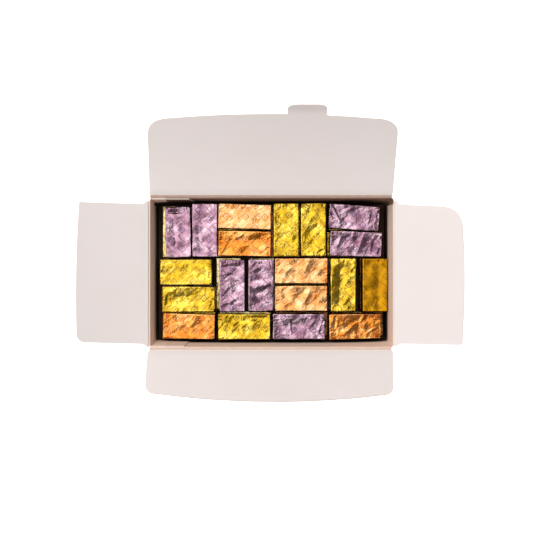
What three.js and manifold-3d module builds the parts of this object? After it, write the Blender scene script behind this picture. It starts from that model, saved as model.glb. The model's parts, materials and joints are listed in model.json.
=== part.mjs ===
// Open folding carton of foil-wrapped chocolate pralines, packed in two layers.
// Millimetres, +Z up. The origin is the centre of the carton's underside. The long
// side of the carton runs along X, and the back flap stands on the +Y side.

import * as THREE from "three";
import { mergeVertices } from "three/addons/utils/BufferGeometryUtils.js";
import Module from "manifold-3d";

const wasm = await Module();
wasm.setup();

// The board and the tray that it folds into, measured inside at the rim. The walls are
// plumb beside the pralines and flare out above them, and the long ones bow outward.
const BOARD = 0.6;
const RIM_Z = 45.2;
const MOUTH_LENGTH = 156.2;
const MOUTH_WIDTH = 95.1;
const CORNER_RADIUS = 1.2;
const FLARE_START_Z = 27;
const FLARE = { side: 1.5, front: 2.4, back: 1.4 };
const BOW = { front: 1, back: 2 };

// Each hinge crease lies just outside its wall. The creases step up by a board and
// a gap, so that shut flaps lie on one another: sides lowest, then front, then back.
const CREASE_OUT = 1.1;
const CREASE_STEP = 0.9;
const BACK_CREASE_Z = 46;
const FRONT_CREASE_Z = BACK_CREASE_Z - CREASE_STEP;
const SIDE_CREASE_Z = FRONT_CREASE_Z - CREASE_STEP;
const WALL_BELOW_CREASE = 0.7;
const FLAP_START = 0.5;

// Glue plies: tongues of the left wall, glued inside the front and back walls.
const PLY = { frontEnd: -56.2, backEnd: -52.8, endSlant: 2, left: -77.4, bottom: 8 };

// A praline: a bar of chocolate in crumpled foil.
const PRALINE_LENGTH = 34.6;
const PRALINE_WIDTH = 16.6;
const PRALINE_HEIGHT = 14;
const PRALINE_EDGE = 1.7;
const PRALINE_GAP = 0.3;

// Four flaps. w runs along the crease and s away from it, both in the flap's plane.
// tilt is how far the open flap springs up, curl how much its end turns up further.
const FLAPS = [
  {
    name: "flap_back",
    yaw: 0,
    reach: MOUTH_WIDTH / 2 + CREASE_OUT,
    creaseZ: BACK_CREASE_Z,
    tilt: 27,
    curl: 0.12,
    bends: 8,
    length: 55.4,
    root: [-77.6, 77],
    side: [-78, 77.7],
    tip: [-77.4, 78.8],
    corners: [[16, 11.5], [16, 10.5]],
    edge: [52.6, 52.4],
    tab: { centre: 22.1, width: 24.4, flat: 2.2, bent: 4.9, bend: 14, corner: [6.5, 3.4] },
  },
  {
    name: "flap_front",
    yaw: 180,
    reach: MOUTH_WIDTH / 2 + CREASE_OUT,
    creaseZ: FRONT_CREASE_Z,
    tilt: 41,
    curl: 0.03,
    bends: 3,
    length: 40.8,
    root: [-76.7, 78],
    side: [-77.6, 79.2],
    tip: [-76.2, 79],
    corners: [[8.5, 8], [9, 8.5]],
    edge: [35.8, 35],
  },
  {
    name: "flap_left",
    yaw: 90,
    reach: MOUTH_LENGTH / 2 + CREASE_OUT,
    creaseZ: SIDE_CREASE_Z,
    tilt: 17,
    curl: 0.04,
    bends: 3,
    length: 45.8,
    root: [-47.6, 46],
    side: [-45.7, 44.1],
    tip: [-44.1, 44.7],
    corners: [[6.5, 6.5], [1, 1]],
    edge: [45.6, 44],
  },
  {
    name: "flap_right",
    yaw: -90,
    reach: MOUTH_LENGTH / 2 + CREASE_OUT,
    creaseZ: SIDE_CREASE_Z,
    tilt: 27,
    curl: 0.04,
    bends: 3,
    length: 45.9,
    root: [-46, 46.9],
    side: [-43.6, 45.4],
    tip: [-42, 45.1],
    corners: [[15, 17], [2, 2]],
    edge: [44.9, 44.6],
  },
];
const GUSSET_END = 3.4;

const FOILS = {
  mauve: { color: 0xb48ca5, roughness: 0.35, metalness: 0.8 },
  orange: { color: 0xfaa03c, roughness: 0.35, metalness: 0.8 },
  yellow: { color: 0xf5c814, roughness: 0.35, metalness: 0.8 },
  amber: { color: 0xcd9105, roughness: 0.3, metalness: 0.8 },
  cream: { color: 0xe8cf9a, roughness: 0.35, metalness: 0.8 },
};
const BOARD_LOOK = { color: 0xe6dcd6, roughness: 0.85, metalness: 0 };

// Pralines of each layer: foil, centre x, centre y, turn of the long side from +X in
// degrees, and how far the length differs from the usual one.
const UPPER_LAYER = [
  ["mauve", -61.1, 26.7, 91.4, -1.2],
  ["mauve", -43.7, 27.9, 90, 0.4],
  ["orange", -17.5, 36.9, -1.6, 0.4],
  ["orange", -17.4, 19.0, -1, 0.2],
  ["yellow", 9.7, 28.1, 90, 0.2],
  ["yellow", 27.5, 28.3, 90, 0.2],
  ["mauve", 54.2, 36.2, -4, -1.3],
  ["mauve", 55.4, 18.7, -2.2, -0.6],
  ["yellow", -56.1, 0.3, 0, -0.6],
  ["yellow", -54.3, -17.5, 0, 0.1],
  ["mauve", -25.7, -8.6, 90, -0.6],
  ["mauve", -6.8, -8.4, 90, -0.5],
  ["orange", 19.6, 1.2, 0, 0],
  ["orange", 19.5, -16.9, 0, -0.2],
  ["yellow", 47.1, -8.2, 90, 0.3],
  ["amber", 68.0, -8.2, 90, 0.1],
  ["orange", -54.1, -35.3, -1.2, -0.2],
  ["yellow", -17.9, -35.5, 0, -0.3],
  ["mauve", 18.0, -35.4, 0, -0.5],
  ["orange", 54.9, -35.4, 1, -0.7],
];
const LOWER_LAYER = [
  ["cream", -64.6, 27.3, 90, 0],
  ["mauve", -46.9, 27.3, 90, 0],
  ["yellow", -20.0, 36.4, 0, 0],
  ["cream", -20.2, 19.1, 0, 0],
  ["orange", 7.0, 27.4, 90, 0],
  ["orange", 24.5, 27.6, 90, 0],
  ["yellow", 54.9, 36.3, 0, -1.5],
  ["yellow", 54.2, 19.0, 0, 0],
  ["orange", -56.2, 1.2, 0, 0],
  ["mauve", -56.0, -16.1, 0, 0],
  ["cream", -28.6, -7.4, 90, 0],
  ["cream", -6.0, -7.5, 90, 0],
  ["mauve", 20.0, 1.2, 0, 0],
  ["yellow", 20.1, -16.1, 0, 0],
  ["mauve", 46.1, -7.4, 90, 0],
  ["orange", 67.2, -7.3, 90, 0],
  ["yellow", -54.5, -34.4, 0, 0],
  ["cream", -17.6, -34.3, 0, 0],
  ["orange", 20.5, -34.4, 0, 0],
  ["orange", 57.5, -34.2, 0, 0],
];
const LAYERS = [
  { name: "praline_lower", places: LOWER_LAYER, baseZ: BOARD + PRALINE_GAP, cuts: [4, 3, 3] },
  {
    name: "praline_upper",
    places: UPPER_LAYER,
    baseZ: BOARD + PRALINE_HEIGHT + 2 * PRALINE_GAP,
    cuts: [6, 4, 3],
  },
];

const radians = THREE.MathUtils.degToRad;

// A seeded draw, so that the crumples are the same each time.
function seededRandom(seed) {
  let state = seed * 7919 + 13;
  return () => {
    state = (state * 16807) % 2147483647;
    return state / 2147483647;
  };
}

function weld(geometry) {
  geometry.deleteAttribute("normal");
  geometry.deleteAttribute("uv");
  return mergeVertices(geometry, 1e-4);
}

function toSolid(geometry) {
  const welded = weld(geometry);
  return new wasm.Manifold(
    new wasm.Mesh({
      numProp: 3,
      vertProperties: new Float32Array(welded.attributes.position.array),
      triVerts: new Uint32Array(welded.index.array),
    }),
  );
}

function toGeometry(solid) {
  const mesh = solid.getMesh();
  const geometry = new THREE.BufferGeometry();
  geometry.setAttribute("position", new THREE.BufferAttribute(mesh.vertProperties, 3));
  geometry.setIndex(new THREE.BufferAttribute(mesh.triVerts, 1));
  geometry.computeVertexNormals();
  return geometry;
}

function box(x0, x1, y0, y1, z0, z1) {
  const geometry = new THREE.BoxGeometry(x1 - x0, y1 - y0, z1 - z0);
  return geometry.translate((x0 + x1) / 2, (y0 + y1) / 2, (z0 + z1) / 2);
}

// How far a wall stands in from its rim at a height, out of its whole flare.
function inset(z) {
  return THREE.MathUtils.clamp((RIM_Z - z) / (RIM_Z - FLARE_START_Z), 0, 1);
}

function bowedInset(side, x, z) {
  const inLength = Math.max(0, 1 - (2 * x / MOUTH_LENGTH) ** 4);
  const upright = Math.sin(Math.PI * THREE.MathUtils.clamp(z / RIM_Z, 0, 1));
  return FLARE[side] * inset(z) - BOW[side] * inLength * upright;
}

// The tray's rounded rectangle drawn upward along its walls. outset is how far it stands
// outside their inner faces.
function trayBlock(outset, base, top) {
  const radius = CORNER_RADIUS + outset;
  const x = MOUTH_LENGTH / 2 + outset - radius;
  const y = MOUTH_WIDTH / 2 + outset - radius;
  const spans = [0.8, 0.5, 0, -0.5, -0.8];
  const outline = new THREE.Shape();
  outline.absarc(x, y, radius, 0, Math.PI / 2);
  spans.forEach((t) => outline.lineTo(t * x, y + radius));
  outline.absarc(-x, y, radius, Math.PI / 2, Math.PI);
  outline.absarc(-x, -y, radius, Math.PI, 1.5 * Math.PI);
  spans.forEach((t) => outline.lineTo(-t * x, -y - radius));
  outline.absarc(x, -y, radius, 1.5 * Math.PI, 2 * Math.PI);
  const rows = [base, RIM_Z / 3, FLARE_START_Z, RIM_Z * 0.8, RIM_Z, top];
  const geometry = new THREE.ExtrudeGeometry(outline, {
    depth: rows.length - 1,
    steps: rows.length - 1,
    bevelEnabled: false,
    curveSegments: 3,
  });
  const position = geometry.attributes.position;
  for (let i = 0; i < position.count; i += 1) {
    const z = rows[Math.round(position.getZ(i))];
    const [across, along] = [position.getX(i), position.getY(i)];
    const side = along > 0 ? "back" : "front";
    const inX = Math.abs(across) > x - 0.01 ? FLARE.side * inset(z) : 0;
    const inY = Math.abs(along) > y - 0.01 ? bowedInset(side, across, z) : 0;
    const place = [across - Math.sign(across) * inX, along - Math.sign(along) * inY];
    position.setXYZ(i, ...place, z);
  }
  return geometry;
}

// A glue ply's outline with its slanted end, drawn through the wall at the back for side 1
// and at the front for side -1.
function plyCutter(end, side, top) {
  const plate = new THREE.Shape();
  plate.moveTo(PLY.left, PLY.bottom);
  plate.lineTo(end + PLY.endSlant, PLY.bottom);
  plate.lineTo(end + PLY.endSlant, top / 2);
  plate.lineTo(end, top);
  plate.lineTo(PLY.left, top);
  const depth = 7;
  const geometry = new THREE.ExtrudeGeometry(plate, { depth, bevelEnabled: false });
  const middle = (side * MOUTH_WIDTH) / 2;
  return geometry.rotateX(Math.PI / 2).translate(0, middle + depth / 2, 0);
}

function trayGeometry() {
  const backTop = BACK_CREASE_Z - WALL_BELOW_CREASE;
  const frontTop = FRONT_CREASE_Z - WALL_BELOW_CREASE;
  const sideTop = SIDE_CREASE_Z - WALL_BELOW_CREASE;
  const far = MOUTH_LENGTH;
  const sideCut = MOUTH_LENGTH / 2 - 1;
  const outer = toSolid(trayBlock(BOARD, 0, backTop));
  const inner = toSolid(trayBlock(0, BOARD, backTop + 1));
  const doubled = outer.subtract(toSolid(trayBlock(-BOARD, BOARD, backTop + 1)));
  return toGeometry(
    outer
      .subtract(inner)
      .add(doubled.intersect(toSolid(plyCutter(PLY.frontEnd, -1, frontTop))))
      .add(doubled.intersect(toSolid(plyCutter(PLY.backEnd, 1, backTop))))
      .subtract(toSolid(box(-far, far, -far, 0, frontTop, far)))
      .subtract(toSolid(box(-far, -sideCut, -far, far, sideTop, far)))
      .subtract(toSolid(box(sideCut, far, -far, far, sideTop, far))),
  );
}

// Height of a curled flap's middle plane over its chord, s away from the crease.
function curlHeight(flap, s) {
  return flap.curl * ((s * s) / flap.length - s);
}

function curlAngle(flap, s) {
  return Math.atan(flap.curl * ((2 * s) / flap.length - 1));
}

function flapOutline(flap) {
  const outline = new THREE.Shape();
  const [rootLow, rootHigh] = flap.root;
  const [sideLow, sideHigh] = flap.side;
  const [tipLow, tipHigh] = flap.tip;
  const [[lowAlong, lowDeep], [highAlong, highDeep]] = flap.corners;
  const [edgeLow, edgeHigh] = flap.edge;
  outline.moveTo(rootHigh, FLAP_START);
  outline.lineTo(sideHigh, GUSSET_END);
  outline.lineTo(tipHigh, edgeHigh - highDeep);
  outline.quadraticCurveTo(tipHigh, edgeHigh, tipHigh - highAlong, edgeHigh);
  const bowTop = 2 * flap.length - (edgeLow + edgeHigh) / 2;
  outline.quadraticCurveTo((tipLow + tipHigh) / 2, bowTop, tipLow + lowAlong, edgeLow);
  outline.quadraticCurveTo(tipLow, edgeLow, tipLow, edgeLow - lowDeep);
  outline.lineTo(sideLow, GUSSET_END);
  outline.lineTo(rootLow, FLAP_START);
  return outline;
}

// The curled sheet that a flap is cut from, as wide as asked and reaching from its
// crease to s = end.
function curledSheet(flap, end) {
  const profile = new THREE.Shape();
  const steps = Array.from({ length: flap.bends + 1 }, (_, i) => (end * i) / flap.bends);
  profile.moveTo(0, -BOARD / 2);
  for (const s of steps.slice(1)) {
    profile.lineTo(s, curlHeight(flap, s) - BOARD / 2);
  }
  for (const s of steps.reverse()) {
    profile.lineTo(s, curlHeight(flap, s) + BOARD / 2);
  }
  const half = MOUTH_LENGTH;
  const geometry = new THREE.ExtrudeGeometry(profile, { depth: 2 * half, bevelEnabled: false });
  geometry.translate(0, 0, -half);
  return geometry.applyMatrix4(
    new THREE.Matrix4().makeBasis(
      new THREE.Vector3(0, 1, 0),
      new THREE.Vector3(0, 0, 1),
      new THREE.Vector3(1, 0, 0),
    ),
  );
}

// A cutter through the whole flap, with the given outline.
function outlineCutter(outline) {
  const depth = 20;
  const geometry = new THREE.ExtrudeGeometry(outline, {
    depth,
    bevelEnabled: false,
    curveSegments: 5,
  });
  return geometry.translate(0, 0, -depth / 2);
}

// The tongue on the back flap's outer edge: a flat root, then a part bent up.
function tabRoot(flap) {
  const { centre, width, flat } = flap.tab;
  const start = flap.length - 2;
  const outline = new THREE.Shape();
  outline.moveTo(centre - width / 2, start);
  outline.lineTo(centre + width / 2, start);
  outline.lineTo(centre + width / 2, flap.length + flat);
  outline.lineTo(centre - width / 2, flap.length + flat);
  return outline;
}

function tabTip(flap) {
  const { centre, width, flat, bent, bend } = flap.tab;
  const [along, deep] = flap.tab.corner;
  const half = width / 2;
  const outline = new THREE.Shape();
  outline.moveTo(-half, -BOARD / 2);
  outline.lineTo(half, -BOARD / 2);
  outline.lineTo(half, bent - deep);
  outline.quadraticCurveTo(half, bent, half - along, bent);
  outline.lineTo(along - half, bent);
  outline.quadraticCurveTo(-half, bent, -half, bent - deep);
  const geometry = new THREE.ExtrudeGeometry(outline, {
    depth: BOARD,
    bevelEnabled: false,
    curveSegments: 4,
  });
  const crease = flap.length + flat;
  return geometry
    .translate(0, 0, -BOARD / 2)
    .rotateX(curlAngle(flap, crease) + radians(bend))
    .translate(centre, crease, curlHeight(flap, crease));
}

function flapGeometry(flap) {
  const end = flap.length + (flap.tab ? flap.tab.flat : 0);
  const sheet = toSolid(curledSheet(flap, end));
  const body = sheet.intersect(toSolid(outlineCutter(flapOutline(flap))));
  if (!flap.tab) {
    return toGeometry(body);
  }
  const root = sheet.intersect(toSolid(outlineCutter(tabRoot(flap))));
  return toGeometry(body.add(root).add(toSolid(tabTip(flap))));
}

// A rounded bar whose foil is drawn in at the waist and crumpled a little all over.
function pralineGeometry(length, cuts, random) {
  const geometry = weld(new THREE.BoxGeometry(2, 2, 2, ...cuts));
  const half = [length / 2, PRALINE_WIDTH / 2, PRALINE_HEIGHT / 2];
  const position = geometry.attributes.position;
  const crumple = [0.12, 0.12, 0.3];
  const swing = random() * Math.PI;
  for (let i = 0; i < position.count; i += 1) {
    const grid = [position.getX(i), position.getY(i), position.getZ(i)];
    const flat = half.map((h, k) => {
      const inner = grid[k] / (1 - 2 / cuts[k]);
      return THREE.MathUtils.clamp(inner, -1, 1) * (h - PRALINE_EDGE);
    });
    const out = new THREE.Vector3(
      ...grid.map((t, k) => (Math.abs(t) > 1 - 1 / cuts[k] ? Math.sign(t) : 0)),
    );
    out.normalize().multiplyScalar(PRALINE_EDGE);
    const place = [out.x + flat[0], out.y + flat[1], out.z + flat[2]];
    const [x, y, z] = place.map((value, k) => value - Math.sign(value) * crumple[k] * random());
    const upward = z > 0 ? 0.25 * Math.sin(x / 5 + swing) * Math.cos(y / 4 - swing) - 0.25 : 0;
    const waist = 0.012 * (1 - Math.abs(x) / half[0]);
    position.setXYZ(i, x, y * (1 - waist), z + upward);
  }
  geometry.computeVertexNormals();
  return geometry;
}

function namedMesh(name, geometry, look) {
  const mesh = new THREE.Mesh(geometry, new THREE.MeshStandardMaterial(look));
  mesh.name = name;
  return mesh;
}

const group = new THREE.Group();
group.add(namedMesh("tray", trayGeometry(), BOARD_LOOK));

for (const flap of FLAPS) {
  const mesh = namedMesh(flap.name, flapGeometry(flap), BOARD_LOOK);
  mesh.rotation.x = radians(flap.tilt);
  mesh.position.set(0, flap.reach, flap.creaseZ);
  const side = new THREE.Group();
  side.rotation.z = radians(flap.yaw);
  side.add(mesh);
  group.add(side);
}

LAYERS.forEach((layer, level) => {
  layer.places.forEach(([foil, x, y, turn, longer], index) => {
    const random = seededRandom(1 + index + level * layer.places.length);
    const geometry = pralineGeometry(PRALINE_LENGTH + longer, layer.cuts, random);
    const number = String(index + 1).padStart(2, "0");
    const mesh = namedMesh(`${layer.name}_${number}`, geometry, FOILS[foil]);
    mesh.position.set(x, y, layer.baseZ + PRALINE_HEIGHT / 2);
    mesh.rotation.z = radians(turn);
    group.add(mesh);
  });
});

export default group;
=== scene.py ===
"""The looks of an open carton of foil-wrapped pralines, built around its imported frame.

Lengths named here are millimetres in the part's own frame: +X along the carton, +Y
towards the back flap, +Z up. MM turns them into Blender's metres.
"""

import json
import math
import random

import bmesh
import bpy
from mathutils import Matrix, Vector, noise


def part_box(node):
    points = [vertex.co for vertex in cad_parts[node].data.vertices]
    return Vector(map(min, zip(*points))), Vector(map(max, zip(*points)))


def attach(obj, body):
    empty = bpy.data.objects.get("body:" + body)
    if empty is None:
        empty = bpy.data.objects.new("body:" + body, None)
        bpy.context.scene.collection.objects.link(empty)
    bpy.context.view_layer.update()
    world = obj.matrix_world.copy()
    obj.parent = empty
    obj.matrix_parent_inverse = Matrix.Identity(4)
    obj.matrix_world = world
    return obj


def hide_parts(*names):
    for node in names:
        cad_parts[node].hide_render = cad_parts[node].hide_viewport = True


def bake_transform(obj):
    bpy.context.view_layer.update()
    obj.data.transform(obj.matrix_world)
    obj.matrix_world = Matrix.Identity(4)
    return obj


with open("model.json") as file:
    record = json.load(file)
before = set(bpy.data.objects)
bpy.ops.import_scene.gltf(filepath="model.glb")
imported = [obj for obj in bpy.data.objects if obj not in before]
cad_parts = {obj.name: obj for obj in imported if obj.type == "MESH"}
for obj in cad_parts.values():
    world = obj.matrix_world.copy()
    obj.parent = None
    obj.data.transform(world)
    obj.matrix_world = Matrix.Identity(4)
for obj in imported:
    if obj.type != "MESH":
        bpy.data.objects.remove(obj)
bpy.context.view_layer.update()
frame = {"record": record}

MM = 0.001

# The carton, as the frame has it.
BOARD = 0.6
RIM_Z = 45.2
MOUTH_LENGTH = 156.2
MOUTH_WIDTH = 95.1
WALL_CORNER = 1.2
CORNER_SLACK = 0.2
FLARE_START_Z = 27.0
FLARE = {"side": 1.5, "front": 2.4, "back": 1.4}
BOW = {"front": 1.0, "back": 2.0}
CREASE_OUT = 1.1
CREASE_STEP = 0.9
BACK_CREASE_Z = 46.0
FRONT_CREASE_Z = BACK_CREASE_Z - CREASE_STEP
SIDE_CREASE_Z = FRONT_CREASE_Z - CREASE_STEP
WALL_BELOW_CREASE = 0.7
FLAP_START = 0.5
GUSSET_END = 3.4
SCORE_AT = 1.75
PLY_ENDS = {"front": -56.2, "back": -52.8}
PLY_SLANT = 2.0
PLY_BOTTOM = 8.0

# Four flaps: w runs along the crease and s away from it, in the flap's own plane. root,
# side and tip are the outline's low and high w at the crease, past the gusset and at the
# tip. edge is the tip's s at its low and high end, and length its s in between. corners
# say how far each rounding reaches along the tip and down the side. grooves are the
# depths of the score beside the wall, at mid-length and at the ends, and of the second
# score on the flap itself.
FLAPS = {
    "back": dict(
        yaw=0, reach=MOUTH_WIDTH / 2 + CREASE_OUT, crease_z=BACK_CREASE_Z, tilt=27,
        curl=0.12, length=55.4, root=(-77.6, 77.0), side=(-78.0, 77.7),
        tip=(-77.4, 78.8), corners=((16, 11.5), (16, 10.5)), edge=(52.6, 52.4),
        tab=dict(centre=22.1, width=24.4, flat=2.2, bent=4.9, bend=14, corner=(6.5, 3.4)),
        grooves=(0.42, 0.6, 0.16),
    ),
    "front": dict(
        yaw=180, reach=MOUTH_WIDTH / 2 + CREASE_OUT, crease_z=FRONT_CREASE_Z, tilt=41,
        curl=0.03, length=40.8, root=(-76.7, 78.0), side=(-77.6, 79.2),
        tip=(-76.2, 79.0), corners=((8.5, 8), (9, 8.5)), edge=(35.8, 35.0), tab=None,
        grooves=(0.22, 0.55, 0.2),
    ),
    "left": dict(
        yaw=90, reach=MOUTH_LENGTH / 2 + CREASE_OUT, crease_z=SIDE_CREASE_Z, tilt=17,
        curl=0.04, length=45.8, root=(-47.6, 46.0), side=(-45.7, 44.1),
        tip=(-44.1, 44.7), corners=((6.5, 6.5), (1, 1)), edge=(45.6, 44.0), tab=None,
        grooves=(0.06, 0.1, 0.04),
    ),
    "right": dict(
        yaw=-90, reach=MOUTH_LENGTH / 2 + CREASE_OUT, crease_z=SIDE_CREASE_Z, tilt=27,
        curl=0.04, length=45.9, root=(-46.0, 46.9), side=(-43.6, 45.4),
        tip=(-42.0, 45.1), corners=((15, 17), (2, 2)), edge=(44.9, 44.6), tab=None,
        grooves=(0.06, 0.1, 0.04),
    ),
}


# Mesh helpers

CUT_SNAP = 1e-5
NEAR = 0.01


def new_object(name, bm, materials):
    """Scales a millimetre bmesh to metres and turns it into an object."""
    bmesh.ops.scale(bm, vec=(MM, MM, MM), verts=bm.verts)
    mesh = bpy.data.meshes.new(name)
    bm.to_mesh(mesh)
    bm.free()
    for material in materials:
        mesh.materials.append(material)
    piece = bpy.data.objects.new(name, mesh)
    bpy.context.scene.collection.objects.link(piece)
    return piece


def cut_across(bm, normal, distance):
    """Cuts the whole mesh by the plane at a distance along an axis."""
    bmesh.ops.bisect_plane(
        bm, geom=bm.verts[:] + bm.edges[:] + bm.faces[:], dist=CUT_SNAP,
        plane_co=Vector(normal) * distance, plane_no=normal,
    )


def slice_along(bm, normal, start, stop, step):
    """Cuts the whole mesh at even steps along an axis."""
    count = int((stop - start) / step)
    for i in range(1, count + 1):
        cut_across(bm, normal, start + i * (stop - start) / (count + 1))


def curve_through(a, control, b, steps=8):
    """Points of a quadratic curve, without its first one."""
    points = []
    for i in range(1, steps + 1):
        t = i / steps
        points.append(
            Vector(a) * (1 - t) ** 2 + Vector(control) * 2 * t * (1 - t) + Vector(b) * t * t
        )
    return points


def shade_smooth(piece, angle=40):
    """Smooth shading with sharp edges kept past the angle."""
    mesh = piece.data
    bm = bmesh.new()
    bm.from_mesh(mesh)
    for face in bm.faces:
        face.smooth = True
    for edge in bm.edges:
        if len(edge.link_faces) == 2:
            edge.smooth = edge.calc_face_angle() < math.radians(angle)
    bm.to_mesh(mesh)
    bm.free()


# Shader helpers

VECTOR, FLOAT = "NodeSocketVector", "NodeSocketFloat"


def group_tree(name, inputs, outputs):
    """A shader node group; its sockets are given as names and kinds."""
    tree = bpy.data.node_groups.new(name, "ShaderNodeTree")
    for in_out, sockets in (("INPUT", inputs), ("OUTPUT", outputs)):
        for label, kind in sockets.items():
            tree.interface.new_socket(name=label, in_out=in_out, socket_type=kind)
    return tree, tree.nodes.new("NodeGroupInput"), tree.nodes.new("NodeGroupOutput")


def add_node(tree, kind, inputs=None, **settings):
    """Adds a node; inputs are values or sockets by index or name."""
    node = tree.nodes.new(kind)
    for key, value in settings.items():
        setattr(node, key, value)
    for key, value in (inputs or {}).items():
        if isinstance(value, bpy.types.NodeSocket):
            tree.links.new(value, node.inputs[key])
        else:
            node.inputs[key].default_value = value
    return node


def math_node(tree, operation, *values):
    """One sum on single numbers."""
    node = add_node(tree, "ShaderNodeMath", dict(enumerate(values)), operation=operation)
    return node.outputs[0]


def mix_colour(tree, factor, a, b):
    """Colour a where the factor is zero, b where it is one."""
    node = add_node(tree, "ShaderNodeMix", data_type="RGBA")
    for index, value in ((0, factor), (6, a), (7, b)):
        if isinstance(value, bpy.types.NodeSocket):
            tree.links.new(value, node.inputs[index])
        else:
            node.inputs[index].default_value = value
    return node.outputs[2]


def cloud(tree, vector, scale, detail, roughness=0.5, kind="FBM"):
    """Cloudy noise, about zero to one; scale is its lumps per metre."""
    node = add_node(
        tree, "ShaderNodeTexNoise",
        {"Vector": vector, "Scale": scale, "Detail": detail, "Roughness": roughness},
        noise_type=kind,
    )
    return node.outputs["Fac"]


def stretch(tree, value, low, high, to_low=0.0, to_high=1.0, kind="LINEAR"):
    """Maps low to high onto to_low to to_high, and holds it there beyond them."""
    node = add_node(
        tree, "ShaderNodeMapRange",
        {"Value": value, "From Min": low, "From Max": high, "To Min": to_low,
         "To Max": to_high},
        interpolation_type=kind,
    )
    return node.outputs[0]


def linear(red, green, blue):
    """An sRGB colour, 0 to 255, as the linear colour that Blender's sockets take."""
    def one(value):
        value /= 255
        return value / 12.92 if value <= 0.04045 else ((value + 0.055) / 1.055) ** 2.4
    return (one(red), one(green), one(blue), 1.0)


def new_material(name):
    """A material with its tree, its shader and its object coordinates."""
    material = bpy.data.materials.new(name)
    material.use_nodes = True
    tree = material.node_tree
    coordinates = add_node(tree, "ShaderNodeTexCoord")
    return material, tree, tree.nodes["Principled BSDF"], coordinates


# Effects that several materials share. Sizes in them are metres, as coordinates are.

def fibre_group():
    """Paper fibre: a height for bump and a mottle."""
    tree, source, sink = group_tree(
        "paper_fibre", {"Vector": VECTOR, "Mottle size": FLOAT},
        {"Height": FLOAT, "Mottle": FLOAT},
    )
    vector = source.outputs["Vector"]
    fine = cloud(tree, vector, 1400.0, 3.0)
    coarse = cloud(tree, vector, 260.0, 4.0)
    height = math_node(tree, "MULTIPLY_ADD", fine, 0.45, coarse)
    mottle = cloud(tree, vector, source.outputs["Mottle size"], 5.0, 0.62)
    tree.links.new(height, sink.inputs["Height"])
    tree.links.new(mottle, sink.inputs["Mottle"])
    return tree


def crumple_group():
    """Foil crumple: facets and fine sharp folds as a height, and masks for painted light: a
    broad painted sheen, small painted glints that gather in patches and thin lines of
    painted crease shade."""
    tree, source, sink = group_tree(
        "foil_crumple", {"Vector": VECTOR},
        {"Height": FLOAT, "Sheen": FLOAT, "Glint": FLOAT, "Crease shade": FLOAT},
    )
    vector = source.outputs["Vector"]
    sway = add_node(
        tree, "ShaderNodeTexNoise", {"Vector": vector, "Scale": 180.0, "Detail": 2.0}
    )
    swayed = add_node(
        tree, "ShaderNodeVectorMath",
        {0: sway.outputs["Color"], 1: (0.003, 0.003, 0.003), 2: vector},
        operation="MULTIPLY_ADD",
    ).outputs[0]
    slanting = add_node(
        tree, "ShaderNodeMapping",
        {"Vector": swayed, "Rotation": (0, 0, math.radians(40)), "Scale": (2.4, 1, 1)},
        vector_type="TEXTURE",
    ).outputs[0]
    facets = add_node(
        tree, "ShaderNodeTexVoronoi", {"Vector": swayed, "Scale": 280.0},
        distance="CHEBYCHEV", feature="F1",
    )
    small_facets = add_node(
        tree, "ShaderNodeTexVoronoi", {"Vector": swayed, "Scale": 640.0},
        distance="MANHATTAN", feature="F1",
    )
    folds = cloud(tree, slanting, 190.0, 4.0, 0.6, "RIDGED_MULTIFRACTAL")
    height = math_node(
        tree, "MULTIPLY_ADD", small_facets.outputs["Distance"], 0.3,
        facets.outputs["Distance"],
    )
    height = math_node(tree, "MULTIPLY_ADD", folds, 0.45, height)
    patches = cloud(tree, vector, 75.0, 1.0)
    glint_patches = stretch(tree, patches, 0.42, 0.6)
    shade_patches = stretch(tree, patches, 0.58, 0.42)
    specks = stretch(tree, cloud(tree, slanting, 420.0, 3.0, 0.65), 0.42, 0.62)
    borders = add_node(
        tree, "ShaderNodeTexVoronoi", {"Vector": swayed, "Scale": 210.0},
        feature="DISTANCE_TO_EDGE",
    )
    lines = stretch(tree, borders.outputs["Distance"], 0.09, 0.02)
    tree.links.new(height, sink.inputs["Height"])
    tree.links.new(cloud(tree, swayed, 170.0, 4.0, 0.6), sink.inputs["Sheen"])
    tree.links.new(math_node(tree, "MULTIPLY", specks, glint_patches), sink.inputs["Glint"])
    tree.links.new(math_node(tree, "MULTIPLY", lines, shade_patches), sink.inputs["Crease shade"])
    return tree


# Heights in millimetres, and how much light reaches the foil there, painted into its
# colour as shade: the tops of the lower and the upper layer are open, and the bars' sides
# stand in narrow gaps.
LIGHT_AT = ((12.6, 0.1), (14.1, 1), (15.0, 1), (15.9, 0.1), (26.4, 0.1), (28.2, 1))
LIGHT_TOP = 30.0


def depth_group():
    """How open a bar's foil lies at its height, for its painted shade: one on top, near zero
    down its sides.
    """
    tree, source, sink = group_tree("bar_depth", {"Vector": VECTOR}, {"Open": FLOAT})
    split = add_node(tree, "ShaderNodeSeparateXYZ", {0: source.outputs["Vector"]})
    height = math_node(tree, "DIVIDE", split.outputs[2], LIGHT_TOP * MM)
    ramp = add_node(tree, "ShaderNodeValToRGB", {"Fac": height})
    stops = ramp.color_ramp.elements
    ends = ((stops[0], LIGHT_AT[0]), (stops[1], LIGHT_AT[-1]))
    for stop, (level, light) in ends:
        stop.position = level / LIGHT_TOP
        stop.color = (light, light, light, 1)
    for level, light in LIGHT_AT[1:-1]:
        stops.new(level / LIGHT_TOP).color = (light, light, light, 1)
    tree.links.new(ramp.outputs["Color"], sink.inputs["Open"])
    return tree


# The printed motif, in millimetres of foil: the pitch along and across, where the
# lozenge and the dash stand along it, and their sizes from the middle.
PRINT_PITCH = (12.6, 7.2)
LOZENGE_AT, LOZENGE_REACH, LOZENGE_LINE, LOZENGE_DOT = 2.6, 2.15, 0.46, 0.8
DASH_AT, DASH_REACH, DASH_LINE = 8.6, 5.0, 0.42


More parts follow.
